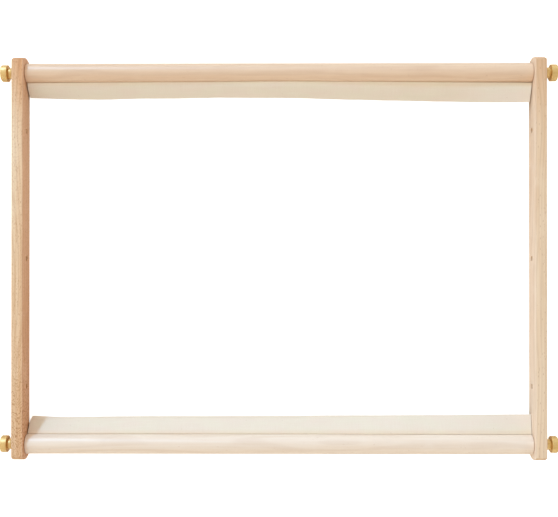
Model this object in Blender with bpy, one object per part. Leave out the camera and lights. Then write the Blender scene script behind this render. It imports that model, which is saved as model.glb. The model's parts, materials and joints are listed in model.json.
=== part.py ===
"""Rotating needlework frame: two flat side rails carry two rollers with cotton tapes.

The frame lies on its back. +X runs along the rollers, +Y from the bottom roller to the top one,
and +Z out of the front. The origin is on the resting plane, under the middle of the frame.
Units are metres.
"""

import math

import bmesh
import bpy
from mathutils import Vector

# Driving dimensions.
INSIDE_WIDTH = 0.613            # between the inner faces of the rails
RAIL_WIDTH = 0.0134             # along X
RAIL_DEPTH = 0.030              # along Z
RAIL_LENGTH = 0.486             # along Y, between the tips of the arched ends
RAIL_ARCH = 0.005               # height of the arch at each end
RAIL_EDGE = 0.0006              # rounding of the rail's edges
ROLLER_SPACING = 0.450          # between the two roller axes
AXIS_HEIGHT = 0.0122            # roller axes above the rails' backs
SPARE_HOLE_SPACING = 0.155      # from the middle spare hole to the next ones
HOLE_RADIUS = 0.00325           # clearance hole for a 6 mm stud
ROLLER_RADIUS = 0.0119
ROLLER_EDGE = 0.0005            # chamfer at the roller's ends
ROLLER_END_GAP = 0.0004         # between a roller's end and its rail
STUD_RADIUS = 0.00295           # metric thread, 6 mm
STUD_CORE_RADIUS = 0.0024       # wood thread, in the roller
STUD_IN_ROLLER = 0.022
STUD_IN_KNOB = 0.010
FIT_GAP = 0.0003                # between pieces that touch
WASHER_RADIUS = 0.0070
WASHER_THICKNESS = 0.0010
KNOB_RADIUS = 0.01015
KNOB_LENGTH = 0.0155
KNOB_NECK_RADIUS = 0.0065
KNOB_NECK_LENGTH = 0.0072
KNOB_NECK_WIDEST = 0.0046       # from the knob's inner end to the neck's widest place
KNOB_NECK_ROUND = 0.0068        # radius of the neck's bulging outline
TAPE_WIDTH = 0.038              # flat, with the part that is fixed to the roller
TAPE_THICKNESS = 0.0008
TAPE_END_GAP = 0.0010           # between a tape's end and its rail
STAPLE_COUNT = 8                # along each tape
STAPLE_ANGLE = math.radians(62)
STAPLE_CROWN = 0.010            # outside width
STAPLE_LEG = 0.0065             # below the tape's outer face
STAPLE_WIRE = 0.0007

# Numbers of flat sides on the round pieces.
ROLLER_SIDES = 48
KNOB_SIDES = 40
SMALL_SIDES = 24
WELD = 1e-6

# How each tape hangs past its roller: distance along the tape from where it leaves the roller,
# and its slope there. A slope of 90 degrees is straight up and 0 is level, towards the work.
TOP_TAPE_SLOPES = ((0.0, 100), (0.0010, 100), (0.0030, -24), (0.0120, -38), (0.0245, -38))
BOTTOM_TAPE_SLOPES = ((0.0, 88), (0.0022, -28), (0.0090, -36), (0.0200, -36), (0.0245, -8))
TAPE_STEP = 0.0007

HALF_INSIDE = INSIDE_WIDTH / 2
RAIL_OUTER_FACE = HALF_INSIDE + RAIL_WIDTH
ROLLER_HALF = HALF_INSIDE - ROLLER_END_GAP
WASHER_FACE = RAIL_OUTER_FACE + FIT_GAP
KNOB_FACE = WASHER_FACE + WASHER_THICKNESS + FIT_GAP
TAPE_RADIUS = ROLLER_RADIUS + FIT_GAP + TAPE_THICKNESS / 2

BEECH = (0.78, 0.55, 0.35, 1.0)
PALE_BEECH = (0.84, 0.66, 0.50, 1.0)
COTTON = (0.84, 0.76, 0.62, 1.0)
BRASS = (0.80, 0.55, 0.20, 1.0)
STEEL = (0.62, 0.62, 0.60, 1.0)


def clear_scene():
    for item in list(bpy.data.objects):
        bpy.data.objects.remove(item, do_unlink=True)


def material(name, colour, roughness, metallic):
    made = bpy.data.materials.new(name)
    made.use_nodes = True
    shader = made.node_tree.nodes["Principled BSDF"]
    shader.inputs["Base Color"].default_value = colour
    shader.inputs["Roughness"].default_value = roughness
    shader.inputs["Metallic"].default_value = metallic
    return made


def mesh_object(name, bm, finish, parent=None, location=(0.0, 0.0, 0.0), turn=0.0):
    """Make an object from a bmesh, placed under its parent and turned about Z."""
    bmesh.ops.recalc_face_normals(bm, faces=bm.faces)
    mesh = bpy.data.meshes.new(name)
    bm.to_mesh(mesh)
    bm.free()
    mesh.materials.append(finish)
    mesh.shade_smooth()
    mesh.set_sharp_from_angle(angle=math.radians(30))
    made = bpy.data.objects.new(name, mesh)
    bpy.context.scene.collection.objects.link(made)
    made.parent = parent
    made.location = location
    made.rotation_euler = (0.0, 0.0, turn)
    return made


def axis_empty(name, location):
    """An empty on a roller's axis, which its roller, tape, studs and knobs hang from."""
    empty = bpy.data.objects.new(name, None)
    bpy.context.scene.collection.objects.link(empty)
    empty.location = location
    return empty


def cutter(name, bm, parent=None):
    """A hidden object that only cuts others."""
    made = mesh_object(name, bm, material(name, STEEL, 0.5, 0.0), parent)
    made.hide_render = True
    made.display_type = "WIRE"
    return made


def cut(target, tool):
    boolean = target.modifiers.new("cut", "BOOLEAN")
    boolean.operation = "DIFFERENCE"
    boolean.solver = "EXACT"
    boolean.object = tool


def arc(centre, radius, start, end, steps):
    """Points on an arc, angles in degrees from the first coordinate towards the second."""
    points = []
    for i in range(steps + 1):
        angle = math.radians(start + (end - start) * i / steps)
        points.append((centre[0] + radius * math.cos(angle), centre[1] + radius * math.sin(angle)))
    return points


def turned(profile, sides, ring=False):
    """Spin (x, radius) points about the X axis. A ring's outline closes on itself."""
    bm = bmesh.new()
    verts = [bm.verts.new((x, 0.0, radius)) for x, radius in profile]
    following = verts[1:] + verts[:1] if ring else verts[1:]
    edges = [bm.edges.new(pair) for pair in zip(verts, following)]
    bmesh.ops.spin(bm, geom=verts + edges, cent=(0, 0, 0), axis=(1, 0, 0),
                   angle=math.tau, steps=sides, use_merge=True)
    bmesh.ops.remove_doubles(bm, verts=bm.verts, dist=WELD)
    return bm


def extruded(bm, outline, along):
    """Add a prism: a face through the outline's points, swept by the vector."""
    verts = [bm.verts.new(point) for point in outline]
    face = bm.faces.new(verts)
    swept = bmesh.ops.extrude_face_region(bm, geom=[face])
    moved = [item for item in swept["geom"] if isinstance(item, bmesh.types.BMVert)]
    bmesh.ops.translate(bm, verts=moved, vec=along)
    return bm


def rail_outline():
    """Side view of a rail, as (y, z) points: straight faces and two arched ends."""
    half_depth = RAIL_DEPTH / 2
    arch_radius = (half_depth ** 2 + RAIL_ARCH ** 2) / (2 * RAIL_ARCH)
    spread = math.degrees(math.asin(half_depth / arch_radius))
    reach = RAIL_LENGTH / 2 - arch_radius
    top = arc((reach, half_depth), arch_radius, -spread, spread, 10)
    bottom = arc((-reach, half_depth), arch_radius, 180 - spread, 180 + spread, 10)
    return top + bottom


def rail_hole_cutter():
    """Long rods along X at the roller axes and the spare holes, which cut both rails."""
    bm = bmesh.new()
    reach = RAIL_OUTER_FACE + RAIL_WIDTH
    half_spacing = ROLLER_SPACING / 2
    for y in (-half_spacing, -SPARE_HOLE_SPACING, 0.0, SPARE_HOLE_SPACING, half_spacing):
        circle = arc((y, AXIS_HEIGHT), HOLE_RADIUS, 0, 360, SMALL_SIDES)[:-1]
        extruded(bm, [(-reach, point_y, point_z) for point_y, point_z in circle], (2 * reach, 0, 0))
    return cutter("rail_hole_cutter", bm)


def rail(name, inner_face, finish, holes):
    bm = extruded(bmesh.new(), [(0.0, y, z) for y, z in rail_outline()], (RAIL_WIDTH, 0, 0))
    made = mesh_object(name, bm, finish, location=(inner_face, 0.0, 0.0))
    bevel = made.modifiers.new("edges", "BEVEL")
    bevel.width = RAIL_EDGE
    bevel.segments = 2
    bevel.limit_method = "ANGLE"
    bevel.angle_limit = math.radians(30)
    cut(made, holes)
    return made


def roller_profile():
    """Half outline of a roller with a blind stud hole in each end."""
    hole_end = ROLLER_HALF - STUD_IN_ROLLER - FIT_GAP
    right = [
        (ROLLER_HALF - ROLLER_EDGE, ROLLER_RADIUS),
        (ROLLER_HALF, ROLLER_RADIUS - ROLLER_EDGE),
        (ROLLER_HALF, HOLE_RADIUS),
        (hole_end, HOLE_RADIUS),
        (hole_end, 0.0),
    ]
    left = [(-x, radius) for x, radius in reversed(right)]
    return left + right


def stud_profile():
    """A hanger bolt: wood thread first, then the metric thread, from the roller outwards."""
    inner_end = ROLLER_HALF - STUD_IN_ROLLER
    shoulder = ROLLER_HALF - 0.002
    outer_end = KNOB_FACE + STUD_IN_KNOB
    tip = 0.0008
    return [
        (inner_end, 0.0),
        (inner_end + 2 * tip, STUD_CORE_RADIUS),
        (shoulder, STUD_CORE_RADIUS),
        (shoulder + tip, STUD_RADIUS),
        (outer_end - tip, STUD_RADIUS),
        (outer_end, STUD_RADIUS - tip),
        (outer_end, 0.0),
    ]


def washer_profile():
    return [
        (0.0, HOLE_RADIUS),
        (0.0, WASHER_RADIUS),
        (WASHER_THICKNESS, WASHER_RADIUS),
        (WASHER_THICKNESS, HOLE_RADIUS),
    ]


def knob_profile():
    """Half outline of a knob, from its blind hole to the middle of its domed face."""
    hole_end = STUD_IN_KNOB + 2 * FIT_GAP
    neck_centre = (KNOB_NECK_WIDEST, KNOB_NECK_RADIUS - KNOB_NECK_ROUND)
    neck_start = math.degrees(math.acos(-KNOB_NECK_WIDEST / KNOB_NECK_ROUND))
    neck_end = math.degrees(math.acos((KNOB_NECK_LENGTH - KNOB_NECK_WIDEST) / KNOB_NECK_ROUND))
    inner_round = 0.0007
    outer_round = 0.0014
    rim_start = KNOB_NECK_LENGTH + inner_round
    rim_end = KNOB_LENGTH - 0.0004 - outer_round
    return [
        (hole_end, 0.0),
        (hole_end, HOLE_RADIUS),
        (0.0, HOLE_RADIUS),
        *arc(neck_centre, KNOB_NECK_ROUND, neck_start, neck_end, 8),
        *arc((rim_start, KNOB_RADIUS - inner_round), inner_round, 180, 90, 3),
        *arc((rim_end, KNOB_RADIUS - outer_round), outer_round, 90, 0, 3),
        (KNOB_LENGTH - 0.00015, KNOB_RADIUS * 0.5),
        (KNOB_LENGTH, 0.0),
    ]


def slope_at(distance, slopes):
    """Slope in radians at a distance along the tape, straight between the given ones."""
    for (near, before), (far, after) in zip(slopes, slopes[1:]):
        if distance <= far:
            share = (distance - near) / (far - near)
            return math.radians(before + (after - before) * share)
    return math.radians(slopes[-1][1])


def fixed_path(slopes):
    """Middle line of the edge fixed round the roller, as (towards the work, up, slope) from its axis."""
    path = []
    steps = 10
    leaving = math.radians(slopes[0][1])
    start = leaving - (TAPE_WIDTH - slopes[-1][0]) / TAPE_RADIUS
    end = leaving - FIT_GAP / TAPE_RADIUS
    for i in range(steps + 1):
        angle = start + (end - start) * i / steps
        path.append((TAPE_RADIUS * math.sin(angle), -TAPE_RADIUS * math.cos(angle), angle))
    return path


def free_path(slopes):
    """Middle line of the part that hangs free, from where it leaves the roller."""
    slope = math.radians(slopes[0][1])
    inward = TAPE_RADIUS * math.sin(slope)
    up = -TAPE_RADIUS * math.cos(slope)
    path = [(inward, up, slope)]
    steps = round(slopes[-1][0] / TAPE_STEP)
    for i in range(steps):
        middle = slope_at((i + 0.5) * TAPE_STEP, slopes)
        inward += TAPE_STEP * math.cos(middle)
        up += TAPE_STEP * math.sin(middle)
        path.append((inward, up, slope_at((i + 1) * TAPE_STEP, slopes)))
    return path


def strip_mesh(path, work_side):
    """A thin strip swept along X. work_side is the sign of Y towards the frame's middle."""
    half = TAPE_THICKNESS / 2
    upper = []
    lower = []
    for inward, up, slope in path:
        across = Vector((-math.sin(slope), math.cos(slope))) * half
        upper.append((inward + across.x, up + across.y))
        lower.append((inward - across.x, up - across.y))
    half_length = HALF_INSIDE - TAPE_END_GAP
    outline = [(-half_length, work_side * y, z) for y, z in upper + lower[::-1]]
    return extruded(bmesh.new(), outline, (2 * half_length, 0, 0))


def staple_places():
    pitch = 2 * ROLLER_HALF / STAPLE_COUNT
    return [(i - (STAPLE_COUNT - 1) / 2) * pitch for i in range(STAPLE_COUNT)]


def radial_prism(bm, outline, half_thickness, work_side):
    """Sweep an (x, radius) outline by a small thickness, at the angle of the staples."""
    sine = math.sin(STAPLE_ANGLE)
    cosine = math.cos(STAPLE_ANGLE)
    low = []
    for x, radius in outline:
        inward = radius * sine - half_thickness * cosine
        up = -radius * cosine - half_thickness * sine
        low.append((x, work_side * inward, up))
    sweep = (0.0, work_side * 2 * half_thickness * cosine, 2 * half_thickness * sine)
    extruded(bm, low, sweep)


def staple_mesh(work_side):
    """One staple: a wire crown on the tape, with two legs in the roller. Its middle is at x = 0."""
    bm = bmesh.new()
    crown_inner = TAPE_RADIUS + TAPE_THICKNESS / 2 + FIT_GAP
    crown_outer = crown_inner + STAPLE_WIRE
    leg_end = crown_inner - STAPLE_LEG
    half = STAPLE_CROWN / 2
    outline = [
        (-half, leg_end),
        (-half, crown_outer),
        (half, crown_outer),
        (half, leg_end),
        (half - STAPLE_WIRE, leg_end),
        (half - STAPLE_WIRE, crown_inner),
        (STAPLE_WIRE - half, crown_inner),
        (STAPLE_WIRE - half, leg_end),
    ]
    radial_prism(bm, outline, STAPLE_WIRE / 2, work_side)
    return bm


def staple_leg_cutter(name, axis, work_side):
    """Slots for the staple legs, through the tape and into the roller."""
    bm = bmesh.new()
    near = TAPE_RADIUS + TAPE_THICKNESS
    far = TAPE_RADIUS + TAPE_THICKNESS / 2 - STAPLE_LEG - FIT_GAP
    half_slot = STAPLE_WIRE / 2 + FIT_GAP
    leg_offset = STAPLE_CROWN / 2 - STAPLE_WIRE / 2
    for x in staple_places():
        for middle in (x - leg_offset, x + leg_offset):
            outline = [
                (middle - half_slot, far),
                (middle - half_slot, near),
                (middle + half_slot, near),
                (middle + half_slot, far),
            ]
            radial_prism(bm, outline, half_slot, work_side)
    return cutter(name, bm, axis)


def roller_assembly(level, work_side, slopes, finishes):
    """A roller with all that turns or screws on its axis: tape, staples, studs, washers, knobs."""
    axis = axis_empty(level + "_axis", (0.0, -work_side * ROLLER_SPACING / 2, AXIS_HEIGHT))
    slots = staple_leg_cutter(level + "_staple_slots", axis, work_side)
    roller = mesh_object(level + "_roller", turned(roller_profile(), ROLLER_SIDES), finishes["roller"], axis)
    # One cloth in two solids: its edge on the roller, and the part that hangs free.
    tape_edge = strip_mesh(fixed_path(slopes), work_side)
    tape_edge = mesh_object(level + "_tape_fixed_edge", tape_edge, finishes["tape"], axis)
    mesh_object(level + "_tape", strip_mesh(free_path(slopes), work_side), finishes["tape"], axis)
    cut(roller, slots)
    cut(tape_edge, slots)
    for number, x in enumerate(staple_places(), start=1):
        name = f"{level}_staple_{number}"
        mesh_object(name, staple_mesh(work_side), finishes["steel"], axis, (x, 0.0, 0.0))
    for side, sign in (("left", -1), ("right", 1)):
        end = level + "_" + side
        turn = 0.0 if sign > 0 else math.pi
        washer_place = (sign * WASHER_FACE, 0.0, 0.0)
        knob_place = (sign * KNOB_FACE, 0.0, 0.0)
        stud = turned(stud_profile(), SMALL_SIDES)
        washer = turned(washer_profile(), SMALL_SIDES, ring=True)
        knob = turned(knob_profile(), KNOB_SIDES)
        mesh_object("stud_" + end, stud, finishes["steel"], axis, turn=turn)
        mesh_object("washer_" + end, washer, finishes["brass"], axis, washer_place, turn)
        mesh_object("knob_" + end, knob, finishes["brass"], axis, knob_place, turn)


def build():
    clear_scene()
    finishes = {
        "rail": material("beech", BEECH, 0.55, 0.0),
        "roller": material("pale_beech", PALE_BEECH, 0.5, 0.0),
        "tape": material("cotton", COTTON, 0.9, 0.0),
        "brass": material("brass", BRASS, 0.25, 1.0),
        "steel": material("steel", STEEL, 0.35, 1.0),
    }
    holes = rail_hole_cutter()
    rail("left_rail", -RAIL_OUTER_FACE, finishes["rail"], holes)
    rail("right_rail", HALF_INSIDE, finishes["rail"], holes)
    roller_assembly("top", -1, TOP_TAPE_SLOPES, finishes)
    roller_assembly("bottom", 1, BOTTOM_TAPE_SLOPES, finishes)


build()
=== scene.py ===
"""Looks of a rotating needlework frame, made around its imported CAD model.

The frame lies on its back on a pale floor. +X runs along the rollers, +Y from the bottom roller to
the top one, and +Z out of the front. Lengths are in metres and angles in degrees. Materials measure
places and their features' sizes in millimetres, and the heights of bumps in metres.
"""

import json
import math

import bmesh
import bpy
from mathutils import Matrix, Vector, noise


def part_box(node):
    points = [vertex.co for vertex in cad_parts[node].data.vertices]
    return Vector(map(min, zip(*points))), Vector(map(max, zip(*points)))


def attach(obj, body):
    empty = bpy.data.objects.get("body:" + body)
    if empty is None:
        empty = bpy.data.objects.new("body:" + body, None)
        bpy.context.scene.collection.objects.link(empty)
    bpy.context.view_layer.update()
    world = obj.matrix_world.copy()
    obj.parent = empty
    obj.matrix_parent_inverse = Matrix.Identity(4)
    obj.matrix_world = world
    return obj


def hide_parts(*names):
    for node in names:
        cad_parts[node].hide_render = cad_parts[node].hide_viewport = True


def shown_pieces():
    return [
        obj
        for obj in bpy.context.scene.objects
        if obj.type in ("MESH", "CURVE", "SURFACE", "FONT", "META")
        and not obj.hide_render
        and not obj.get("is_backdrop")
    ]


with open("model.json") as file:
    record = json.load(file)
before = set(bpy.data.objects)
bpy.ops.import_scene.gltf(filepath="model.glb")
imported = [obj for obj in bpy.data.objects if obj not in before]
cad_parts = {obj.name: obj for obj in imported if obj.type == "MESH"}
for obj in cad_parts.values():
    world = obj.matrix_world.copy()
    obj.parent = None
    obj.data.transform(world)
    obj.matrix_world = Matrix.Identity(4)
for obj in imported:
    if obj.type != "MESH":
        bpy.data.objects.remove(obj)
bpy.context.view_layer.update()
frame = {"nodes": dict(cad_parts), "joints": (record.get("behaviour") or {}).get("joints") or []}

LEVELS = ("top", "bottom")
SIDES = (("left", -1), ("right", 1))

# The camera stands over the frame and looks straight down, a little off its middle.
CAMERA_PLACE = (0.0071, -0.0033, 1.0477)
CAMERA_TARGET = (0.0003, 0.0, 0.0150)
CAMERA_LENS_MM = 55.04

# Light comes from beyond the top roller and from the left, low over the frame.
KEY_FROM = (-0.75, 1.50, 1.0)
KEY_STRENGTH = 1.40
KEY_ANGLE = 4.0
KEY_COLOUR = (0.38, 0.66, 1.0)
SKY_STRENGTH = 0.66
SKY_FROM = (-0.85, 0.0, 0.53)
SKY_SIDES = 0.70                # how much brighter and dimmer the sky is towards and away from there
SKY_COLOUR = (1.0, 0.93, 0.83, 1.0)
FLOOR_GLOW = 0.85

TIP_LENGTH = 110.0              # mm of a rail's end that has aged deeper
TIP_TINT = (0.86, 0.66, 0.50, 1.0)
WORN_COLOUR = (0.80, 0.68, 0.55, 1.0)

COTTON_CREAM = (0.86, 0.785, 0.655, 1.0)
COTTON_PINK = (0.87, 0.765, 0.655, 1.0)
COTTON_PALE = (0.91, 0.85, 0.75, 1.0)
COTTON_SHADE = (0.67, 0.575, 0.445, 1.0)
# Painted warm light, bounced from the wooden roller onto the cloth near it.
COTTON_PAINTED_BOUNCE = (1.0, 0.955, 0.89, 1.0)
COTTON_SEED = (0.36, 0.25, 0.14, 1.0)
WEAVE_PITCH = 0.50              # mm from thread to thread

SMOOTH_BELOW = 34               # a CAD mesh's edges with a smaller angle are shaded smooth

HOLE_RADIUS = 0.00325           # clearance for a stud, in the washers and knobs
KNOB_NECK_LENGTH = 0.0072
KNOB_NECK_RADIUS = 0.0065
KNOB_NECK_ROUND = 0.0068        # radius of the neck's bulging outline
KNOB_NECK_WIDEST = 0.0046       # from the knob's inner end to the neck's widest place
KNOB_BORE_DEPTH = 0.0106
STUD_PITCH = 0.001
STUD_CREST_RADIUS = 0.00295
STUD_ROOT_RADIUS = 0.0024
STUD_WOOD_LENGTH = 0.0200       # the part with the wood thread, from the inner end
WOOD_THREAD_PITCH = 0.0022
WOOD_THREAD_ROOT = 0.0018
STAPLE_COUNT = 8                # on each tape
STAPLE_WIRE_RADIUS = 0.00035
STAPLE_WIRE_CORNER = 1.104      # the wire's eight corners, whose flats then lie just outside its radius
STAPLE_BEND = 0.0007            # radius of a crown's corners
STAPLE_LEG = 0.0055
STAPLE_TIP = 0.35               # share of the wire's thickness left at a leg's chisel point
STAPLE_GAP = 0.0003             # between a crown and the tape

TAPE_WIDTH = 0.038
TAPE_HALF_THICKNESS = 0.0003
TAPE_FOLD_RADIUS = 0.0004
TAPE_GAP = 0.00005              # between a tape and its roller
TAPE_COLUMNS = 260
TAPE_WRAP_STEPS = 12            # each part's steps across the tape
TAPE_RISE_STEPS = 3
TAPE_FOLD_STEPS = 10
TAPE_FLAP_STEPS = 30
TAPE_BODY = 0.92                # share of the thickness away from the selvedge
SELVEDGE_WIDTH = 0.0016
SELVEDGE_FULLNESS = 0.30
LOWEST_TAPE = 0.0008            # height of a flap that has come down to the table

# How each tape hangs at places along it: x, the angle where it leaves the roller (from straight
# down), the rise past that point, the length of the free flap, and its first and last slopes.
TOP_TAPE = (
    (-0.3048, 90.0, 0.0030, 0.0194, 12.0, 44.0),
    (-0.2500, 95.0, 0.0023, 0.0218, 13.0, 43.0),
    (-0.1570, 104.0, 0.0010, 0.0213, 14.0, 42.0),
    (-0.0960, 109.0, 0.0003, 0.0205, 14.0, 41.0),
    (0.0000, 116.0, 0.0000, 0.0215, 14.0, 42.0),
    (0.0870, 111.0, 0.0003, 0.0231, 12.0, 41.0),
    (0.1470, 103.0, 0.0013, 0.0241, 12.0, 40.0),
    (0.2080, 94.0, 0.0025, 0.0240, 10.0, 34.0),
    (0.3057, 84.0, 0.0045, 0.0224, 2.0, 13.0),
)
BOTTOM_TAPE = (
    (-0.3052, 85.0, 0.0000, 0.0221, 30.0, 36.0),
    (-0.2600, 84.0, 0.0011, 0.0208, 28.0, 35.0),
    (-0.2000, 84.0, 0.0007, 0.0214, 25.0, 34.0),
    (0.0000, 84.0, 0.0003, 0.0219, 24.0, 32.0),
    (0.0870, 85.0, 0.0004, 0.0226, 22.0, 30.0),
    (0.2100, 86.0, 0.0006, 0.0226, 15.0, 22.0),
    (0.3060, 87.0, 0.0009, 0.0232, 6.0, 9.0),
)
BEND_LENGTH = 0.009             # over which a flap's slope goes from its first to its last
TABLE_EASE = 0.0020             # height over which a flap levels out on the table
RIPPLE_RATE = 21.0              # how many long ripples a metre of free edge has
RIPPLE_SLOPE = 3.2              # the most that they tilt it
FLUTTER_RATE = 75.0             # the same for short ripples
FLUTTER_SLOPE = 1.2
DRAWN_PART = 60                 # one part in this many of a tape's length is drawn in at an end

# A tape's seed for its ripples, and how it is drawn in at its low and high ends: the pull at the
# free edge, and the share of the width where the pull starts.
HANGING = {
    "top": (TOP_TAPE, 3.1, ((0.0, 0.86), (0.0017, 0.42))),
    "bottom": (BOTTOM_TAPE, 8.4, ((0.0028, 0.86), (0.0, 0.86))),
}


# ---------------------------------------------------------------- the frame

def joint_place(name):
    """A joint's position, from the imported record."""
    for joint in frame["joints"]:
        if joint["name"] == name:
            return Vector(joint["pos_m"])
    raise ValueError(name)


AXES = {level: joint_place(level + "_roller_turn") for level in LEVELS}
AXIS_HEIGHT = AXES["top"].z             # the same for both rollers
WORK_SIDE = {"top": -1, "bottom": 1}    # sign of Y from a roller towards the work
ROLLER_RADIUS = (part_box("top_roller")[1].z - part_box("top_roller")[0].z) / 2
TAPE_RADIUS = ROLLER_RADIUS + TAPE_GAP + TAPE_HALF_THICKNESS


# ---------------------------------------------------------------- node trees

class Tree:
    """Short calls that build a material's node tree around its Principled BSDF."""

    def __init__(self, name):
        self.material = bpy.data.materials.new(name)
        self.material.use_nodes = True
        self.tree = self.material.node_tree
        self.shader = self.tree.nodes["Principled BSDF"]

    def set(self, **values):
        """Give shader sockets a number, a colour or another node's output."""
        for name, value in values.items():
            self.feed(self.shader.inputs[name.replace("_", " ").title().replace("Ior", "IOR")], value)
        return self

    def feed(self, socket, value):
        if isinstance(value, bpy.types.NodeSocket):
            self.tree.links.new(value, socket)
        elif value is not None:
            socket.default_value = value

    def add(self, kind, inputs=(), **settings):
        node = self.tree.nodes.new("ShaderNode" + kind)
        for name, value in settings.items():
            setattr(node, name, value)
        for name, value in dict(inputs).items():
            self.feed(node.inputs[name], value)
        return node

    def math(self, operation, a, b=None, clamp=False):
        node = self.add("Math", operation=operation, use_clamp=clamp)
        self.feed(node.inputs[0], a)
        self.feed(node.inputs[1], b)
        return node.outputs[0]

    def vector(self, operation, a, b=None):
        node = self.add("VectorMath", operation=operation)
        self.feed(node.inputs[0], a)
        self.feed(node.inputs[1], b)
        return node.outputs["Value" if operation == "LENGTH" else "Vector"]

    def split(self, vector):
        return self.add("SeparateXYZ", {"Vector": vector}).outputs

    def join(self, x, y, z):
        return self.add("CombineXYZ", {"X": x, "Y": y, "Z": z}).outputs[0]

    def place_mm(self):
        """The point on the piece, in millimetres in the piece's own space."""
        here = self.add("TexCoord").outputs["Object"]
        node = self.add("VectorMath", operation="SCALE")
        self.feed(node.inputs[0], here)
        node.inputs["Scale"].default_value = 1000.0
        return node.outputs[0]

    def stretched(self, vector, size, shift=(0.0, 0.0, 0.0)):
        """Shift a place and divide it by a feature's size along each axis."""
        moved = self.vector("ADD", vector, shift)
        return self.vector("DIVIDE", moved, size)

    def noise(self, vector, detail=2.0, roughness=0.5):
        values = {"Vector": vector, "Scale": 1.0, "Detail": detail, "Roughness": roughness}
        return self.add("TexNoise", values).outputs["Fac"]

    def cells(self, vector):
        """Voronoi cells of size one: distance to the nearest point, and a random colour."""
        node = self.add("TexVoronoi", {"Vector": vector, "Scale": 1.0})
        return node.outputs["Distance"], node.outputs["Color"]

    def between(self, value, low, high, out_low=0.0, out_high=1.0):
        """Map a range smoothly onto another, and hold its ends."""
        values = {"Value": value, "From Min": low, "From Max": high, "To Min": out_low, "To Max": out_high}
        return self.add("MapRange", values, interpolation_type="SMOOTHSTEP").outputs["Result"]

    def mix(self, factor, a, b, blend="MIX"):
        node = self.add("Mix", data_type="RGBA", blend_type=blend)
        self.feed(node.inputs["Factor"], factor)
        self.feed(node.inputs["A"], a)
        self.feed(node.inputs["B"], b)
        return node.outputs["Result"]

    def bump(self, height, distance, strength):
        values = {"Height": height, "Distance": distance, "Strength": strength}
        return self.add("Bump", values).outputs["Normal"]


# ---------------------------------------------------------------- materials

def grain_size(along, thin, long):
    """A feature's size along each axis, longer along the grain."""
    size = [thin, thin, thin]
    size[along] = long
    return size


def beech(name, along, centre, half_size, colours, ring_tilt, ring_size, flecks, ends, figure=None, **tints):
    """Sanded beech: growth rings, short ray flecks, pores and end grain.

    along is the grain's axis, 0 for X and 1 for Y. centre and half_size give the piece's box in
    millimetres. ring_tilt is how far the rings lean in the board, in radians, and ring_size their
    spacing. flecks is the share of the face's cells that hold a ray fleck. ends gives the shade at
    the low and the high end of the board, 1 being the deeper colour. figure is the Y of an end where
    the grain swirls. tints are those of a rail, for rail_tints.
    """
    light, deep, fleck_colour = colours
    wood = Tree(name)
    place = wood.place_mm()
    axes = wood.split(place)
    run = axes[along]
    across = axes[1 - along]

    drift = wood.noise(wood.stretched(place, grain_size(along, 2.6, 95.0), (17.0, 5.0, 3.0)), detail=3.0)
    from_middle = wood.math("SUBTRACT", run, centre[along])
    end_shade = wood.between(from_middle, -half_size[along], half_size[along], *ends)
    shade = wood.math("ADD", wood.between(drift, 0.30, 0.72, -0.35, 0.35), end_shade, clamp=True)
    tone = wood.mix(shade, light, deep)
    ring = growth_rings(wood, place, along, across, axes[2], ring_tilt, ring_size)
    tone = wood.mix(wood.math("MULTIPLY", ring, 0.22), tone, fleck_colour)
    patch = wood.noise(wood.stretched(place, (24.0, 24.0, 24.0), (8.0, 2.0, 1.0)), detail=1.0)
    tone = wood.mix(wood.between(patch, 0.52, 0.75, 0.0, 0.35), tone, light)

    distance, cell_colour = wood.cells(wood.stretched(place, grain_size(along, 1.15, 5.2)))
    chosen = wood.between(wood.split(cell_colour)[0], 1.0 - flecks, 1.0 - flecks + 0.05)
    fleck = wood.math("MULTIPLY", wood.between(distance, 0.36, 0.12), chosen)
    fleck_shade = wood.math("MULTIPLY", fleck, 0.82)
    if figure is not None:
        fleck_shade = swirl_figure(wood, place, run, across, centre, figure, fleck_shade)
    tone = wood.mix(fleck_shade, tone, fleck_colour)

    pores = wood.noise(wood.stretched(place, grain_size(along, 0.16, 2.4)), detail=2.0, roughness=0.6)
    tone = wood.mix(wood.between(pores, 0.56, 0.78, 0.0, 0.20), tone, fleck_colour)
    tone = end_grain(wood, tone, place, along, deep, fleck_colour)
    if tints:
        tone = rail_tints(wood, tone, axes, centre, half_size, **tints)

    grain_bump = wood.math("ADD", wood.math("MULTIPLY", pores, 0.5), wood.math("MULTIPLY", fleck, -0.35))
    normal = wood.bump(grain_bump, 0.00008, 0.45)
    roughness = wood.between(pores, 0.35, 0.75, 0.52, 0.66)
    wood.set(base_color=tone, roughness=roughness, normal=normal)
    return wood


def growth_rings(wood, place, along, across, up, tilt, size):
    """Wandering growth rings, tilted in the board: one in the middle of each dense band."""
    tilted = wood.math("ADD", wood.math("MULTIPLY", across, math.sin(tilt)),
                       wood.math("MULTIPLY", up, math.cos(tilt)))
    wander = wood.noise(wood.stretched(place, grain_size(along, 30.0, 210.0), (3.0, 40.0, 9.0)), detail=1.5)
    ring_place = wood.math("ADD", tilted, wood.math("MULTIPLY", wander, 26.0))
    wave = wood.math("SINE", wood.math("MULTIPLY", ring_place, math.tau / size))
    return wood.between(wave, -0.1, 1.0)


def end_grain(wood, tone, place, along, deep, fleck_colour):
    """Deeper, dotted faces at the ends of the grain."""
    facing = wood.split(wood.add("TexCoord").outputs["Normal"])[along]
    end_face = wood.between(wood.math("ABSOLUTE", facing), 0.15, 0.70)
    dots = wood.noise(wood.stretched(place, (0.35, 0.35, 0.35)), detail=2.0)
    end_tone = wood.mix(wood.between(dots, 0.40, 0.70, 0.15, 0.75), deep, fleck_colour)
    return wood.mix(wood.math("MULTIPLY", end_face, 0.75), tone, end_tone)


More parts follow.
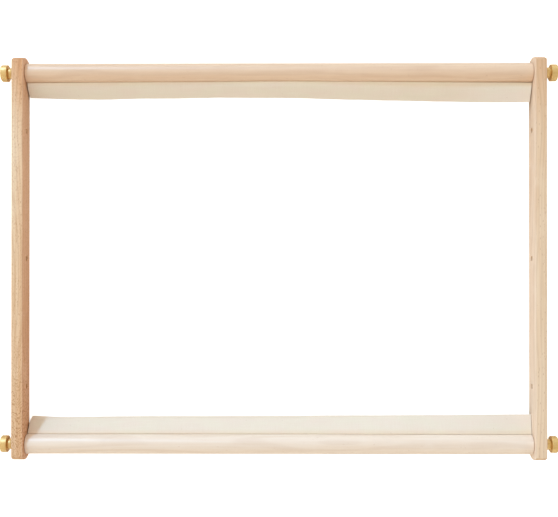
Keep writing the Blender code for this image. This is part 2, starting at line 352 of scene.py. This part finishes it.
def rail_tints(wood, tone, axes, centre, half_size, tips, faces, rightwards):
    """Tints of a rail, whose grain runs along Y.

    tips says how aged each end of its front is. rightwards is a tint that grows towards +X, and
    faces is painted shade on side faces turned from the light and painted light on ones turned towards it.
    The long edges are worn paler.
    """
    across, run, up = axes
    sideways = wood.split(wood.add("TexCoord").outputs["Normal"])[0]
    side_face = wood.between(wood.math("ABSOLUTE", sideways), 0.3, 0.8)
    from_middle = wood.math("SUBTRACT", run, centre[1])
    low_tip = wood.between(from_middle, TIP_LENGTH - half_size[1], -half_size[1], 0.0, tips[0])
    high_tip = wood.between(from_middle, half_size[1] - TIP_LENGTH, half_size[1], 0.0, tips[1])
    not_side = wood.math("SUBTRACT", 1.0, side_face)
    tip = wood.math("MULTIPLY", wood.math("ADD", low_tip, high_tip), not_side)
    tone = wood.mix(tip, tone, TIP_TINT, "MULTIPLY")
    rightward = wood.between(wood.math("SUBTRACT", across, centre[0]), -3.5, half_size[0])
    tone = wood.mix(rightward, tone, rightwards, "MULTIPLY")
    # Painted shade and light on the side faces, by the way they face the light: darker on the left rail,
    # lighter on the right.
    tone = wood.mix(side_face, tone, faces, "MULTIPLY")
    edge = worn_edge(wood, across, up, centre, half_size)
    return wood.mix(wood.math("MULTIPLY", edge, 0.18), tone, WORN_COLOUR)


def worn_edge(wood, across, up, centre, half_size):
    """One on the long edges of a rail, nothing away from them."""
    from_side = wood.math("SUBTRACT", half_size[0],
                          wood.math("ABSOLUTE", wood.math("SUBTRACT", across, centre[0])))
    from_face = wood.math("SUBTRACT", half_size[2],
                          wood.math("ABSOLUTE", wood.math("SUBTRACT", up, centre[2])))
    return wood.between(wood.math("ADD", from_side, from_face), 1.3, 0.2)


def swirl_figure(wood, place, run, across, centre, figure, fleck_shade):
    """Slanting short rays that meet in arrowheads near one end of a rail."""
    reach = wood.between(wood.math("SUBTRACT", run, figure), 170.0, 30.0, 0.18, 1.0)
    patch = wood.noise(wood.stretched(place, (6.0, 13.0, 6.0), (4.0, 7.0, 2.0)), detail=2.0)
    aside = wood.math("ABSOLUTE", wood.math("SUBTRACT", across, centre[0] + 0.8))
    arrow = wood.math("ADD", wood.math("SUBTRACT", run, wood.math("MULTIPLY", aside, 1.3)),
                      wood.math("MULTIPLY", patch, 22.0))
    line = wood.between(wood.math("SINE", wood.math("MULTIPLY", arrow, math.tau / 5.2)), 0.25, 0.95)
    broken = wood.noise(wood.stretched(place, (1.7, 1.7, 1.7)), detail=1.0)
    strokes = wood.math("MULTIPLY", line, wood.between(broken, 0.38, 0.54, 0.0, 1.0))
    shade = wood.math("MULTIPLY", strokes, reach)
    return wood.math("MAXIMUM", fleck_shade, shade)


def cotton(name):
    """Unbleached plain weave, drawn on the cloth's own flat coordinates in millimetres."""
    cloth = Tree(name)
    flat = cloth.add("UVMap", uv_map="flat_mm").outputs[0]
    along, over, _ = cloth.split(flat)
    warp = cloth.math("DIVIDE", along, WEAVE_PITCH)
    weft = cloth.math("DIVIDE", over, WEAVE_PITCH)
    thread = cloth.math("ADD", cloth.math("FLOOR", warp), cloth.math("FLOOR", weft))
    parity = cloth.math("FLOORED_MODULO", thread, 2.0)
    warp_round = cloth.math("SINE", cloth.math("MULTIPLY", cloth.math("FRACT", warp), math.pi))
    weft_round = cloth.math("SINE", cloth.math("MULTIPLY", cloth.math("FRACT", weft), math.pi))
    warp_over = cloth.math("MULTIPLY", warp_round, cloth.math("POWER", weft_round, 0.35))
    weft_over = cloth.math("MULTIPLY", weft_round, cloth.math("POWER", warp_round, 0.35))
    weave = cloth.add("Mix", {"Factor": parity, "A": warp_over, "B": weft_over}, data_type="FLOAT")
    weave = weave.outputs[0]

    slub_along = cloth.noise(cloth.stretched(flat, (30.0, 0.7, 1.0)), detail=2.0)
    slub_over = cloth.noise(cloth.stretched(flat, (0.7, 18.0, 1.0), (40.0, 3.0, 0.0)), detail=2.0)
    slub = cloth.math("ADD", slub_along, slub_over)
    tint = cloth.noise(cloth.stretched(flat, (42.0, 17.0, 1.0), (5.0, 9.0, 0.0)), detail=2.0)
    tone = cloth.mix(cloth.between(tint, 0.35, 0.65), COTTON_CREAM, COTTON_PINK)
    tone = cloth.mix(cloth.between(slub, 0.85, 1.25, 0.0, 0.30), tone, COTTON_PALE)
    # Painted shade in the low places where the threads dip between their crossings.
    tone = cloth.mix(cloth.between(weave, 0.55, 0.05, 0.0, 0.22), tone, COTTON_SHADE)
    distance, cell_colour = cloth.cells(cloth.stretched(flat, (5.5, 5.5, 1.0)))
    speck = cloth.math("MULTIPLY", cloth.between(distance, 0.085, 0.035),
                       cloth.between(cloth.split(cell_colour)[1], 0.80, 0.84))
    tone = cloth.mix(cloth.math("MULTIPLY", speck, 0.65), tone, COTTON_SEED)

    # Painted warm bounce light from the roller, on the cloth that lies on and just past the roller.
    tone = cloth.mix(cloth.between(over, 22.0, 16.0), tone, COTTON_PAINTED_BOUNCE, "MULTIPLY")

    height = cloth.math("ADD", weave, cloth.math("MULTIPLY", slub, 0.5))
    cloth.set(base_color=tone, roughness=0.92, normal=cloth.bump(height, 0.00010, 0.6),
              sheen_weight=0.25, sheen_roughness=0.5)
    return cloth


def brass(name, fresh, aged, polish):
    """Turned brass: fine turning rings about the piece's X axis and patches of ageing."""
    metal = Tree(name)
    place = metal.place_mm()
    x, y, z = metal.split(place)
    radius = metal.vector("LENGTH", metal.join(0.0, y, z))
    ring = metal.math("ADD", metal.math("MULTIPLY", x, 41.0), metal.math("MULTIPLY", radius, 37.0))
    jitter = metal.noise(metal.stretched(place, (0.5, 0.5, 0.5)), detail=2.0)
    rings = metal.math("SINE", metal.math("ADD", ring, metal.math("MULTIPLY", jitter, 4.0)))
    patch = metal.noise(metal.stretched(place, (3.2, 3.2, 3.2), (2.0, 6.0, 4.0)), detail=4.0, roughness=0.6)
    age = metal.between(patch, 0.42, 0.72)
    tone = metal.mix(metal.math("MULTIPLY", age, 0.55), fresh, aged)
    scratch = metal.noise(metal.stretched(place, (0.12, 0.9, 0.9)), detail=2.0)
    roughness = metal.math("ADD", metal.between(scratch, 0.35, 0.70, polish, polish + 0.10),
                           metal.math("MULTIPLY", age, 0.10))
    height = metal.math("ADD", metal.math("MULTIPLY", rings, 0.5), jitter)
    metal.set(base_color=tone, metallic=1.0, roughness=roughness, normal=metal.bump(height, 0.000004, 0.5),
              coat_weight=0.6, coat_roughness=0.35, coat_ior=1.6)
    return metal


def steel(name, colour, dull):
    """Zinc plated steel with a faint spangle and duller cloudy patches."""
    metal = Tree(name)
    place = metal.place_mm()
    distance, cell_colour = metal.cells(metal.stretched(place, (0.6, 0.6, 0.6)))
    spangle = metal.split(cell_colour)[0]
    cloud = metal.noise(metal.stretched(place, (1.8, 1.8, 1.8)), detail=3.0)
    tone = metal.mix(metal.between(cloud, 0.35, 0.70, 0.0, 0.6), colour, dull)
    roughness = metal.math("ADD", metal.between(spangle, 0.0, 1.0, 0.26, 0.40),
                           metal.between(cloud, 0.4, 0.7, 0.0, 0.12))
    metal.set(base_color=tone, metallic=1.0, roughness=roughness, normal=metal.bump(cloud, 0.00002, 0.4))
    return metal


# ---------------------------------------------------------------- meshes

def mesh_piece(name, verts, faces, material, sharp=40.0, location=(0.0, 0.0, 0.0), turn=0.0):
    """A new closed piece: smooth, with edges sharper than the given angle kept, turned about Z."""
    mesh = bpy.data.meshes.new(name)
    mesh.from_pydata(verts, [], faces)
    mesh.validate()
    mesh.materials.append(material)
    mesh.shade_smooth()
    mesh.set_sharp_from_angle(angle=math.radians(sharp))
    face_outwards(mesh)
    made = bpy.data.objects.new(name, mesh)
    bpy.context.scene.collection.objects.link(made)
    made.location = location
    made.rotation_euler = (0.0, 0.0, math.radians(turn))
    return made


def face_outwards(mesh):
    bm = bmesh.new()
    bm.from_mesh(mesh)
    bmesh.ops.recalc_face_normals(bm, faces=bm.faces)
    bm.to_mesh(mesh)
    bm.free()


def arc(centre, radius, start, end, steps):
    """Points on an arc, angles in degrees from the first coordinate towards the second."""
    points = []
    for i in range(steps + 1):
        angle = math.radians(start + (end - start) * i / steps)
        points.append((centre[0] + radius * math.cos(angle), centre[1] + radius * math.sin(angle)))
    return points


def turned(profile, sides, closed=False):
    """Vertices and faces of (x, radius) points spun about X. Ends at radius 0 become one point."""
    verts = []
    rings = []
    for x, radius in profile:
        if radius < 1e-7:
            rings.append([len(verts)] * sides)
            verts.append((x, 0.0, 0.0))
            continue
        ring = []
        for i in range(sides):
            angle = math.tau * i / sides
            ring.append(len(verts))
            verts.append((x, radius * math.cos(angle), radius * math.sin(angle)))
        rings.append(ring)
    faces = []
    following = rings[1:] + rings[:1] if closed else rings[1:]
    for near, far in zip(rings, following):
        for i in range(sides):
            j = (i + 1) % sides
            corners = [near[i], far[i], far[j], near[j]]
            face = list(dict.fromkeys(corners))
            if len(face) > 2:
                faces.append(face)
    return verts, faces


def tube_faces(rings, sides):
    """The sides of a tube whose rings of vertices are stored one after another."""
    faces = []
    for i in range(rings - 1):
        for j in range(sides):
            k = (j + 1) % sides
            faces.append((i * sides + j, (i + 1) * sides + j, (i + 1) * sides + k, i * sides + k))
    return faces


def smooth_cad(node):
    """Join a CAD node's split triangles and shade its round faces smooth, as a modifier."""
    group = bpy.data.node_groups.get("smooth_round_faces") or smoothing_group()
    modifier = node.modifiers.new("smooth_round_faces", "NODES")
    modifier.node_group = group


def smoothing_group():
    """Nodes that weld a mesh, drop its stored normals and smooth it across small angles."""
    group = bpy.data.node_groups.new("smooth_round_faces", "GeometryNodeTree")
    group.interface.new_socket("Geometry", in_out="INPUT", socket_type="NodeSocketGeometry")
    group.interface.new_socket("Geometry", in_out="OUTPUT", socket_type="NodeSocketGeometry")
    nodes = group.nodes
    start = nodes.new("NodeGroupInput")
    weld = nodes.new("GeometryNodeMergeByDistance")
    weld.inputs["Distance"].default_value = 1e-6
    plain = nodes.new("GeometryNodeRemoveAttribute")
    plain.inputs["Name"].default_value = "custom_normal"
    angle = nodes.new("GeometryNodeInputMeshEdgeAngle")
    small = nodes.new("FunctionNodeCompare")
    small.data_type = "FLOAT"
    small.operation = "LESS_EQUAL"
    small.inputs["B"].default_value = math.radians(SMOOTH_BELOW)
    faces = nodes.new("GeometryNodeSetShadeSmooth")
    edges = nodes.new("GeometryNodeSetShadeSmooth")
    edges.domain = "EDGE"
    end = nodes.new("NodeGroupOutput")
    links = (
        (start.outputs[0], weld.inputs["Geometry"]),
        (weld.outputs["Geometry"], plain.inputs["Geometry"]),
        (plain.outputs["Geometry"], faces.inputs["Geometry"]),
        (faces.outputs["Geometry"], edges.inputs["Geometry"]),
        (angle.outputs["Unsigned Angle"], small.inputs["A"]),
        (small.outputs["Result"], edges.inputs["Shade Smooth"]),
        (edges.outputs["Geometry"], end.inputs[0]),
    )
    for output, socket in links:
        group.links.new(output, socket)
    return group


# ---------------------------------------------------------------- tapes

def hang_at(places, x):
    """The hanging numbers at x, on a smooth curve through the given places."""
    last = len(places) - 1
    index = next((i for i in range(last) if x <= places[i + 1][0]), last - 1)
    near = places[index]
    far = places[index + 1]
    before = places[max(index - 1, 0)]
    after = places[min(index + 2, last)]
    span = far[0] - near[0]
    share = min(max((x - near[0]) / span, 0.0), 1.0)
    found = []
    for i in range(1, len(near)):
        start_slope = (far[i] - before[i]) / (far[0] - before[0]) * span
        end_slope = (after[i] - near[i]) / (after[0] - near[0]) * span
        a = 2 * share ** 3 - 3 * share ** 2 + 1
        b = share ** 3 - 2 * share ** 2 + share
        c = share ** 3 - share ** 2
        found.append(a * near[i] + b * start_slope + c * end_slope + (1 - a) * far[i])
    return found


def tape_section(places, x, seed):
    """Middle line of a tape at x: (towards the work, up, slope, distance from its fixed edge)."""
    leave, rise, flap, first, last = hang_at(places, x)
    ripple = noise.noise(Vector((x * RIPPLE_RATE, seed, 0.0)))
    flutter = noise.noise(Vector((x * FLUTTER_RATE, seed, 4.0)))
    last += RIPPLE_SLOPE * ripple + FLUTTER_SLOPE * flutter
    leaving = math.radians(leave)
    fold_turn = math.radians(leave + first)
    fold = TAPE_FOLD_RADIUS * fold_turn
    wrap = TAPE_WIDTH - rise - flap - fold
    line = []
    for i in range(TAPE_WRAP_STEPS + 1):
        share = i / TAPE_WRAP_STEPS
        angle = leaving - wrap / TAPE_RADIUS + share * wrap / TAPE_RADIUS
        line.append((TAPE_RADIUS * math.sin(angle), -TAPE_RADIUS * math.cos(angle), angle, share * wrap))
    for i in range(TAPE_RISE_STEPS):
        line.append(carried_on(line[-1], rise / TAPE_RISE_STEPS, leaving))
    for i in range(TAPE_FOLD_STEPS):
        share = (i + 0.5) / TAPE_FOLD_STEPS
        line.append(carried_on(line[-1], fold / TAPE_FOLD_STEPS, leaving - fold_turn * share))
    for i in range(TAPE_FLAP_STEPS):
        share = (i + 0.5) / TAPE_FLAP_STEPS
        bent = min(1.0, share * flap / BEND_LENGTH)
        above = line[-1][1] + AXIS_HEIGHT - LOWEST_TAPE
        ease = min(1.0, max(0.0, above / TABLE_EASE))
        slope = -math.radians(first + (last - first) * bent) * ease
        line.append(carried_on(line[-1], flap / TAPE_FLAP_STEPS, slope))
    return line


def carried_on(point, step, slope):
    """The next point of a tape's middle line, one short straight step on."""
    inward, up, _, distance = point
    return inward + step * math.cos(slope), up + step * math.sin(slope), slope, distance + step


def half_thickness(distance):
    """Half the cloth's thickness: even, with a fuller selvedge that rounds off at the free edge."""
    from_edge = TAPE_WIDTH - distance
    from_selvedge = (from_edge - SELVEDGE_WIDTH / 2) / (SELVEDGE_WIDTH / 2)
    fuller = 1.0 + SELVEDGE_FULLNESS * math.exp(-from_selvedge ** 2)
    return TAPE_HALF_THICKNESS * fuller * TAPE_BODY


def drawn_in(pulls, over, along):
    """How far the cloth is drawn in along X near its two ends, over and along being shares of it."""
    moved = 0.0
    for (pull, start), from_end, sign in zip(pulls, (along, 1 - along), (1, -1)):
        moved += sign * pull * max(0.0, over - start) / (1 - start) * max(0.0, 1 - from_end * DRAWN_PART)
    return moved


class Cloth:
    """A tape's vertices as they are made, each with its flat coordinates in millimetres."""

    def __init__(self, level):
        self.axis = AXES[level]
        self.side = WORK_SIDE[level]
        self.verts = []
        self.flats = []

    def add(self, x, inward, up, flat):
        """Put a vertex at x, so far from the roller's axis towards the work and up."""
        self.verts.append((x, self.axis.y + self.side * inward, self.axis.z + up))
        self.flats.append(flat)
        return len(self.verts) - 1


def cloth_ring(cloth, line, x, moved):
    """The vertices round a tape at x: its upper face with both rounded edges, and its lower face.

    moved says how far each point of the line is drawn in. Both edges follow the free one.
    """
    upper = []
    lower = []
    for (inward, up, slope, distance), pulled in zip(line, moved):
        half = half_thickness(distance)
        flat = (x * 1000, distance * 1000)
        for store, sign in ((upper, 1), (lower, -1)):
            inward_here = inward + sign * -math.sin(slope) * half
            store.append(cloth.add(x + pulled, inward_here, up + sign * math.cos(slope) * half, flat))
    for end, sign in ((0, -1), (-1, 1)):
        inward, up, slope, distance = line[end]
        reach = half_thickness(distance) * 0.75 * sign
        flat = (x * 1000, distance * 1000 + sign * 0.3)
        edge = cloth.add(x + moved[-1], inward + math.cos(slope) * reach, up + math.sin(slope) * reach, flat)
        upper.insert(0 if end == 0 else len(upper), edge)
    return upper, lower


def cloth_faces(loops):
    """The long faces of a tape between its rings, and the two that close its ends."""
    rings = [upper + lower[::-1] for upper, lower in loops]
    faces = []
    for near, far in zip(rings, rings[1:]):
        for i in range(len(near)):
            j = (i + 1) % len(near)
            faces.append((near[i], near[j], far[j], far[i]))
    for upper, lower in (loops[0], loops[-1]):
        inner = upper[1:-1]
        for i in range(len(lower) - 1):
            faces.append((inner[i], lower[i], lower[i + 1], inner[i + 1]))
        faces.append((upper[0], lower[0], inner[0]))
        faces.append((inner[-1], lower[-1], upper[-1]))
    return faces


def tape_piece(level, places, material, seed, pulls):
    """A tape as one closed cloth, with its flat coordinates kept as a UV map."""
    cloth = Cloth(level)
    ends = (places[0][0], places[-1][0])
    loops = []
    for column in range(TAPE_COLUMNS + 1):
        share = column / TAPE_COLUMNS
        x = ends[0] + (ends[1] - ends[0]) * share
        line = tape_section(places, x, seed)
        moved = [drawn_in(pulls, distance / TAPE_WIDTH, share) for _, _, _, distance in line]
        loops.append(cloth_ring(cloth, line, x, moved))
    made = mesh_piece(level + "_tape_cloth", cloth.verts, cloth_faces(loops), material, sharp=70.0)
    uv_map = made.data.uv_layers.new(name="flat_mm")
    for loop in made.data.loops:
        uv_map.data[loop.index].uv = cloth.flats[loop.vertex_index]
    return made


# ---------------------------------------------------------------- turned and bent metal

def knob_profile(length, radius):
    """Half outline of a knob, from its bore to the middle of its domed face."""
    chamfer = 0.0004
    neck_end = KNOB_NECK_LENGTH - 0.0002
    start = math.degrees(math.acos(-KNOB_NECK_WIDEST / KNOB_NECK_ROUND))
    end = math.degrees(math.acos((neck_end - KNOB_NECK_WIDEST) / KNOB_NECK_ROUND))
    neck_centre = (KNOB_NECK_WIDEST, KNOB_NECK_RADIUS - KNOB_NECK_ROUND)
    neck = arc(neck_centre, KNOB_NECK_ROUND, start, end, 20)
    recess = neck[-1][1] - 0.0003
    rim_inner = 0.0006
    rim_outer = 0.0015
    rim_near = KNOB_NECK_LENGTH + rim_inner
    rim_far = length - 0.0004 - rim_outer
    bore_end = KNOB_BORE_DEPTH - 0.0006
    points = [(KNOB_BORE_DEPTH, 0.0), (bore_end, HOLE_RADIUS * 0.8), (bore_end, HOLE_RADIUS)]
    points += [(chamfer, HOLE_RADIUS), (0.0, HOLE_RADIUS + chamfer), (0.0, neck[0][1] - chamfer)]
    points += neck
    points += [(KNOB_NECK_LENGTH, recess), (KNOB_NECK_LENGTH + 0.00005, recess + 0.0006)]
    points += arc((rim_near, radius - rim_inner), rim_inner, 178, 92, 10)
    points += arc((rim_far, radius - rim_outer), rim_outer, 90, 6, 14)
    dome = 0.00045
    dome_radius = radius * 0.72
    groove = 0.00015
    face = length - dome
    points += [(face, radius * 0.80), (face - groove, radius * 0.76), (face, dome_radius)]
    for share in (0.85, 0.65, 0.45, 0.25, 0.1):
        points.append((length - dome * share ** 2, dome_radius * share))
    points.append((length, 0.0))
    return points


def length_and_radius(node):
    """Sizes of a round node that lies along X."""
    low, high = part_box(node)
    return high.x - low.x, (high.z - low.z) / 2


def axial_piece(node, name, shape, material, sharp, level, sign):
    """A piece on a roller's axis, its shape's X running outwards from the node's inner end."""
    low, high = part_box(node)
    inner_end = low.x if sign > 0 else high.x
    place = (inner_end, AXES[level].y, AXES[level].z)
    turn = 0.0 if sign > 0 else 180.0
    verts, faces = shape
    return mesh_piece(name, verts, faces, material, sharp, place, turn)


def knob_piece(level, side, sign, material):
    node = f"knob_{level}_{side}"
    shape = turned(knob_profile(*length_and_radius(node)), 96)
    made = axial_piece(node, node + "_turned", shape, material, 24.0, level, sign)
    return finish_piece(made, node, node)


def washer_profile(thickness, radius):
    """Closed outline of a washer's ring, its edges rounded."""
    edge = 0.0002
    profile = arc((edge, radius - edge), edge, 180, 90, 4)
    profile += arc((thickness - edge, radius - edge), edge, 90, 0, 4)
    profile += arc((thickness - edge, HOLE_RADIUS + edge), edge, 0, -90, 4)
    profile += arc((edge, HOLE_RADIUS + edge), edge, -90, -180, 4)
    return profile


def washer_piece(level, side, sign, material):
    node = f"washer_{level}_{side}"
    shape = turned(washer_profile(*length_and_radius(node)), 72, closed=True)
    made = axial_piece(node, node + "_flat", shape, material, 50.0, level, sign)
    return finish_piece(made, node, node)


def threaded_rod(length, sides):
    """A hanger bolt along X: a pointed wood thread first, then a metric thread with a blunt end."""
    step = STUD_PITCH / 8
    count = round(length / step)
    taper = 0.0012
    verts = []
    for i in range(count + 1):
        x = length * i / count
        if x < STUD_WOOD_LENGTH:
            pitch, root = WOOD_THREAD_PITCH, WOOD_THREAD_ROOT
        else:
            pitch, root = STUD_PITCH, STUD_ROOT_RADIUS
        point = min(1.0, (x + 0.0002) / (3 * taper), (length - x + 0.0009) / taper)
        run_out = min(1.0, abs(x - STUD_WOOD_LENGTH) / taper)
        for j in range(sides):
            turn = j / sides
            phase = (x / pitch - turn) % 1.0
            flank = 1.0 - abs(2 * phase - 1.0)
            crest = min(1.0, max(0.0, 1.35 * flank - 0.12)) * run_out
            radius = (root + (STUD_CREST_RADIUS - root) * crest) * point
            angle = math.tau * turn
            verts.append((x, radius * math.cos(angle), radius * math.sin(angle)))
    faces = tube_faces(count + 1, sides)
    for ring, x in ((0, 0.0), (count, length)):
        centre = len(verts)
        verts.append((x, 0.0, 0.0))
        for j in range(sides):
            faces.append((centre, ring * sides + j, ring * sides + (j + 1) % sides))
    return verts, faces


def stud_piece(level, side, sign, material):
    node = f"stud_{level}_{side}"
    length, _ = length_and_radius(node)
    made = axial_piece(node, node + "_threaded", threaded_rod(length, 32), material, 60.0, level, sign)
    return finish_piece(made, node, level + "_roller")


def staple_path(half, crown):
    """A staple's wire from leg to leg: (along X, distance from the roller's axis)."""
    wire = STAPLE_WIRE_RADIUS
    bend = STAPLE_BEND
    path = [(-half + wire, crown - STAPLE_LEG)]
    path += arc((-half + wire + bend, crown - bend), bend, 180, 90, 6)
    path += arc((half - wire - bend, crown - bend), bend, 90, 0, 6)
    path += [(half - wire, crown - STAPLE_LEG)]
    return path


def staple_piece(level, number, material):
    """A bent wire staple: a crown over the tape and two legs into the roller."""
    node = f"{level}_staple_{number}"
    low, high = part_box(node)
    axis = AXES[level]
    side = WORK_SIDE[level]
    middle = (low + high) / 2
    half = (high.x - low.x) / 2
    outward = Vector((0.0, middle.y - axis.y, middle.z - axis.z)).normalized()
    tangent = outward.cross(Vector((1.0, 0.0, 0.0))) * side
    wire = STAPLE_WIRE_RADIUS
    path = staple_path(half, TAPE_RADIUS + TAPE_HALF_THICKNESS + STAPLE_GAP + wire)
    section = arc((0.0, 0.0), wire * STAPLE_WIRE_CORNER, 30, 390, 8)[:-1]
    verts = []
    for i, (x, radius) in enumerate(path):
        before = path[max(i - 1, 0)]
        after = path[min(i + 1, len(path) - 1)]
        run = Vector((after[0] - before[0], after[1] - before[1])).normalized()
        tip = STAPLE_TIP if i in (0, len(path) - 1) else 1.0
        for a, b in section:
            offset = Vector((-run.y, run.x)) * a * tip
            place = Vector((middle.x + x + offset.x, axis.y, axis.z))
            place += outward * (radius + offset.y) + tangent * b
            verts.append(place)
    count = len(section)
    faces = tube_faces(len(path), count)
    faces.append(tuple(range(count)))
    faces.append(tuple((len(path) - 1) * count + j for j in range(count)))
    made = mesh_piece(node + "_wire", verts, faces, material, 50.0)
    return finish_piece(made, node, level + "_roller")


def finish_piece(piece, node, body):
    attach(piece, body)
    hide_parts(node)
    return piece


# ---------------------------------------------------------------- stage

def floor_piece():
    """A wide pale disc that curves up into a low wall all round."""
    paper = Tree("pale_paper")
    place = paper.place_mm()
    fibre = paper.noise(paper.stretched(place, (6.0, 6.0, 6.0)), detail=2.0)
    paper.set(base_color=(0.86, 0.86, 0.85, 1.0), roughness=paper.between(fibre, 0.3, 0.7, 0.80, 0.9),
              emission_color=(1.0, 1.0, 1.0, 1.0), emission_strength=FLOOR_GLOW)
    flat_radius = 3.0
    curve = 1.0
    profile = [(-0.0004, 0.0), (-0.0004, 1.0), (-0.0004, 2.0)]
    profile += arc((curve, flat_radius), curve, 180, 90, 16)
    profile = [(height, radius) for height, radius in profile] + [(1.6, flat_radius + curve)]
    verts, faces = turned(profile, 96)
    verts = [(y, z, x) for x, y, z in verts]
    made = mesh_piece("floor", verts, faces, paper.material)
    made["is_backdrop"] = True
    return made


def key_light(floor):
    lamp = bpy.data.lights.new("key", "SUN")
    lamp.energy = KEY_STRENGTH
    lamp.angle = math.radians(KEY_ANGLE)
    lamp.color = KEY_COLOUR
    made = bpy.data.objects.new("key", lamp)
    bpy.context.scene.collection.objects.link(made)
    made.rotation_euler = Vector(KEY_FROM).to_track_quat("Z", "Y").to_euler()
    keep_off(made, "not_lit_by_key", [floor])
    return made


def keep_off(light, name, pieces):
    """Keep a light off some pieces."""
    unlit = bpy.data.collections.new(name)
    for piece in pieces:
        unlit.objects.link(piece)
    for member in unlit.collection_objects:
        member.light_linking.link_state = "EXCLUDE"
    light.light_linking.receiver_collection = unlit


def sky():
    """Soft light from all round, stronger from one side."""
    world = bpy.data.worlds.new("soft_sky")
    bpy.context.scene.world = world
    world.use_nodes = True
    nodes = world.node_tree.nodes
    links = world.node_tree.links
    background = nodes["Background"]
    background.inputs["Color"].default_value = SKY_COLOUR
    here = nodes.new("ShaderNodeTexCoord")
    toward = nodes.new("ShaderNodeVectorMath")
    toward.operation = "DOT_PRODUCT"
    toward.inputs[1].default_value = Vector(SKY_FROM).normalized()
    lift = nodes.new("ShaderNodeMapRange")
    lift.inputs["From Min"].default_value = -1.0
    lift.inputs["From Max"].default_value = 1.0
    lift.inputs["To Min"].default_value = SKY_STRENGTH * (1 - SKY_SIDES)
    lift.inputs["To Max"].default_value = SKY_STRENGTH * (1 + SKY_SIDES)
    links.new(here.outputs["Generated"], toward.inputs[0])
    links.new(toward.outputs["Value"], lift.inputs["Value"])
    links.new(lift.outputs["Result"], background.inputs["Strength"])


def camera():
    data = bpy.data.cameras.new("camera")
    data.lens = CAMERA_LENS_MM
    data.sensor_width = 36.0
    data.clip_end = 20.0
    made = bpy.data.objects.new("camera", data)
    bpy.context.scene.collection.objects.link(made)
    made.location = CAMERA_PLACE
    back = (Vector(CAMERA_PLACE) - Vector(CAMERA_TARGET)).normalized()
    right = Vector((0.0, 1.0, 0.0)).cross(back).normalized()
    made.rotation_euler = Matrix((right, back.cross(right), back)).transposed().to_euler()
    bpy.context.scene.camera = made


# ---------------------------------------------------------------- making

def box_mm(node):
    """The middle and the half size of a node's box, in millimetres."""
    low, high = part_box(node)
    centre = [(low[i] + high[i]) * 500 for i in range(3)]
    half_size = [(high[i] - low[i]) * 500 for i in range(3)]
    return centre, half_size


def rail_wood():
    """The rails are sawn from different boards, the left one warmer and more flecked. Their side faces get
    painted shade on the left rail and painted light on the right.
    """
    boards = {
        "left_rail": {
            "colours": ((0.885, 0.71, 0.51, 1.0), (0.77, 0.53, 0.32, 1.0), (0.50, 0.24, 0.10, 1.0)),
            "ring_tilt": 0.9, "ring_size": 3.6, "flecks": 0.46, "ends": (1.05, 0.15), "tips": (0.20, 1.0),
            # faces: painted shade on this rail's side faces, its inner face being turned away from the
            # light.
            "faces": (0.89, 0.76, 0.73, 1.0), "rightwards": (1.01, 0.93, 0.86, 1.0),
        },
        "right_rail": {
            "colours": ((0.84, 0.67, 0.49, 1.0), (0.76, 0.55, 0.36, 1.0), (0.52, 0.33, 0.19, 1.0)),
            "ring_tilt": 1.2, "ring_size": 4.2, "flecks": 0.18, "ends": (0.05, 0.95), "tips": (0.08, 0.50),
            # faces: painted light on this rail's side faces, its inner face being turned towards the light.
            "faces": (1.07, 1.10, 1.20, 1.0), "rightwards": (1.0, 1.0, 1.0, 1.0),
        },
    }
    for node, board in boards.items():
        centre, half_size = box_mm(node)
        figure = centre[1] - half_size[1] if node == "left_rail" else None
        wood = beech(node + "_beech", 1, centre, half_size, figure=figure, **board)
        dress_cad(node, wood)


def roller_wood():
    boards = {
        "top_roller": ((0.82, 0.61, 0.43, 1.0), (0.76, 0.53, 0.36, 1.0), (0.60, 0.38, 0.24, 1.0)),
        "bottom_roller": ((0.89, 0.77, 0.65, 1.0), (0.85, 0.70, 0.56, 1.0), (0.68, 0.50, 0.37, 1.0)),
    }
    for node, colours in boards.items():
        centre, half_size = box_mm(node)
        wood = beech(node + "_beech", 0, centre, half_size, colours, 0.4, 5.5, 0.05, (0.5, 0.5))
        wood.set(coat_weight=1.0, coat_roughness=0.42, coat_ior=1.65)
        dress_cad(node, wood)


def dress_cad(node, wood):
    piece = frame["nodes"][node]
    piece.data.materials[0] = wood.material
    smooth_cad(piece)


def tapes(cloth):
    for level, (places, seed, pulls) in HANGING.items():
        made = tape_piece(level, places, cloth.material, seed, pulls)
        finish_piece(made, level + "_tape", level + "_roller")
        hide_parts(level + "_tape_fixed_edge")


def metal_pieces():
    knob_brass = brass("turned_brass", (0.80, 0.57, 0.235, 1.0), (0.66, 0.43, 0.15, 1.0), 0.47).material
    washer_brass = brass("flat_brass", (0.80, 0.60, 0.29, 1.0), (0.62, 0.44, 0.20, 1.0), 0.30).material
    stud_steel = steel("zinc_thread", (0.66, 0.65, 0.62, 1.0), (0.44, 0.43, 0.40, 1.0)).material
    staple_steel = steel("galvanised_wire", (0.70, 0.70, 0.69, 1.0), (0.50, 0.50, 0.50, 1.0)).material
    for level in LEVELS:
        for side, sign in SIDES:
            knob_piece(level, side, sign, knob_brass)
            washer_piece(level, side, sign, washer_brass)
            stud_piece(level, side, sign, stud_steel)
        for number in range(1, STAPLE_COUNT + 1):
            staple_piece(level, number, staple_steel)


camera()
rail_wood()
roller_wood()
tapes(cotton("cotton_canvas"))
metal_pieces()
floor = floor_piece()
key_light(floor)
keep_off(floor, "not_lit_by_floor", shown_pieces())
sky()
bpy.context.scene.view_settings.view_transform = "Standard"
